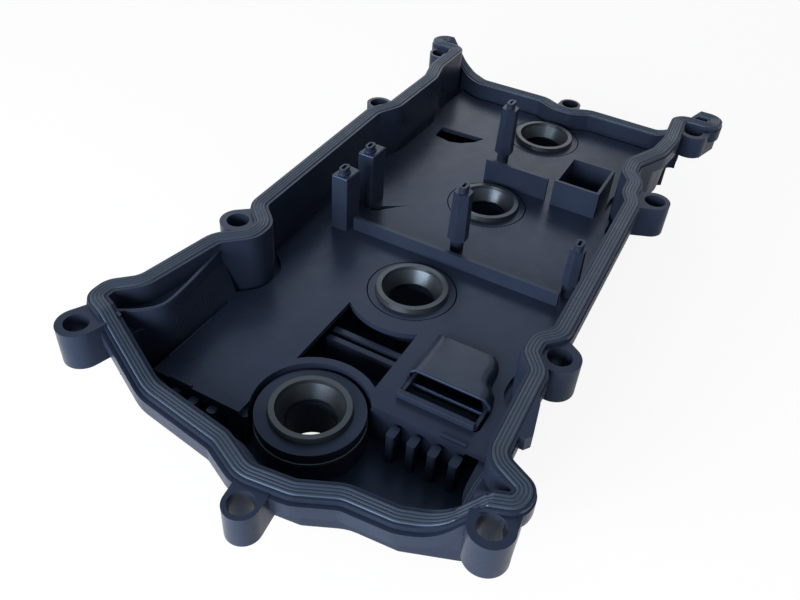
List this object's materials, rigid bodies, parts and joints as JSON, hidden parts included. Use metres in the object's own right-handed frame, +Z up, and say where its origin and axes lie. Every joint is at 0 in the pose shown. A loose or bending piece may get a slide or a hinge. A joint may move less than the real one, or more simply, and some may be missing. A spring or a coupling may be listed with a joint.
{
  "type": "valve cover",
  "caption": "Black moulded valve cover of an in-line engine, open side up, with its gasket, plug tube seals and oil separator plate.",
  "frame": {"origin": "where the first plug well's axis meets the plane that the cover rests on, at the end of its coil tower", "axes": "+X along the row of wells, from the first to the last; +Y across the cover; +Z up, out of its open side"},
  "size_m": [0.4086, 0.2184, 0.076],
  "materials": {
    "black_nylon": "satin black, glass-filled nylon",
    "gasket_rubber": "matte black rubber with fine ribs",
    "seal_rubber": "dark rubber with a light dust of mould powder",
    "spring_steel": "plain spring wire",
    "brass": "turned brass"
  },
  "bodies": {
    "root": {"cover_shell": "black_nylon", "baffle_plate": "black_nylon", "separator_hood": "black_nylon", "perimeter_gasket": "gasket_rubber", "seal_carrier_1": "black_nylon", "tube_seal_1": "seal_rubber", "garter_spring_1": "spring_steel", "coil_insert_1": "brass", "seal_carrier_2": "black_nylon", "tube_seal_2": "seal_rubber", "garter_spring_2": "spring_steel", "coil_insert_2": "brass", "seal_carrier_3": "black_nylon", "tube_seal_3": "seal_rubber", "garter_spring_3": "spring_steel", "coil_insert_3": "brass", "seal_carrier_4": "black_nylon", "tube_seal_4": "seal_rubber", "garter_spring_4": "spring_steel", "coil_insert_4": "brass"}
  },
  "joints": []
}
